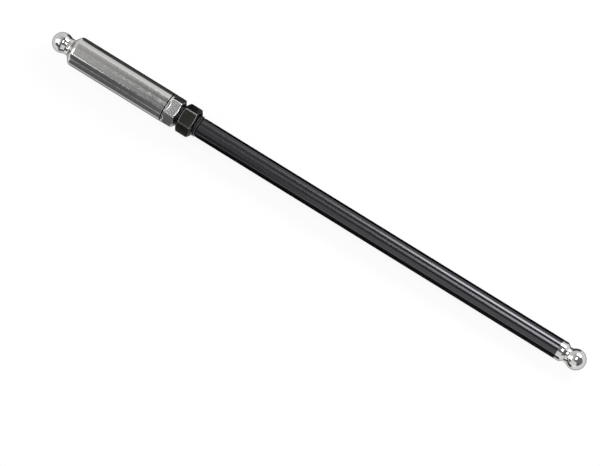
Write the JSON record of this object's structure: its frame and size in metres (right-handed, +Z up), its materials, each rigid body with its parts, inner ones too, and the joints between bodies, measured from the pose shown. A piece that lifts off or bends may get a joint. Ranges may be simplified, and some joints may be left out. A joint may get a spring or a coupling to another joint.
{
  "type": "adjustable engine pushrod",
  "caption": "Long slim engine pushrod with ball ends: bright threaded sleeve, black hex jam nut, satin black tube and polished lower ball tip, lying on its side.",
  "frame": {"origin": "middle of the lying rod's box, on the surface that it lies on", "axes": "+X along the rod from the adjuster's ball to the lower ball, which lies 0.6 degrees lower; +Z up"},
  "size_m": [0.2808, 0.0146, 0.0148],
  "materials": {
    "ground_steel": "satin ground, polished at the ball and shoulder",
    "black_oxide": "black oxide",
    "black_tube": "satin black",
    "polished_steel": "mirror polished"
  },
  "bodies": {
    "pushrod_body": {"threaded_adjuster": "black_oxide", "pushrod_tube": "black_tube", "lower_ball_tip": "polished_steel"},
    "sleeve": {"adjuster_sleeve": "ground_steel"},
    "nut": {"jam_nut": "black_oxide"}
  },
  "joints": [
    {"name": "sleeve_adjust", "type": "slide", "parent": "pushrod_body", "child": "sleeve", "axis": [-0.9999, 0, 0.0107], "range_m": [0, 0.016]},
    {"name": "nut_lock", "type": "slide", "parent": "sleeve", "child": "nut", "axis": [-0.9999, 0, 0.0107], "range_m": [-0.0015, 0.00075]}
  ]
}
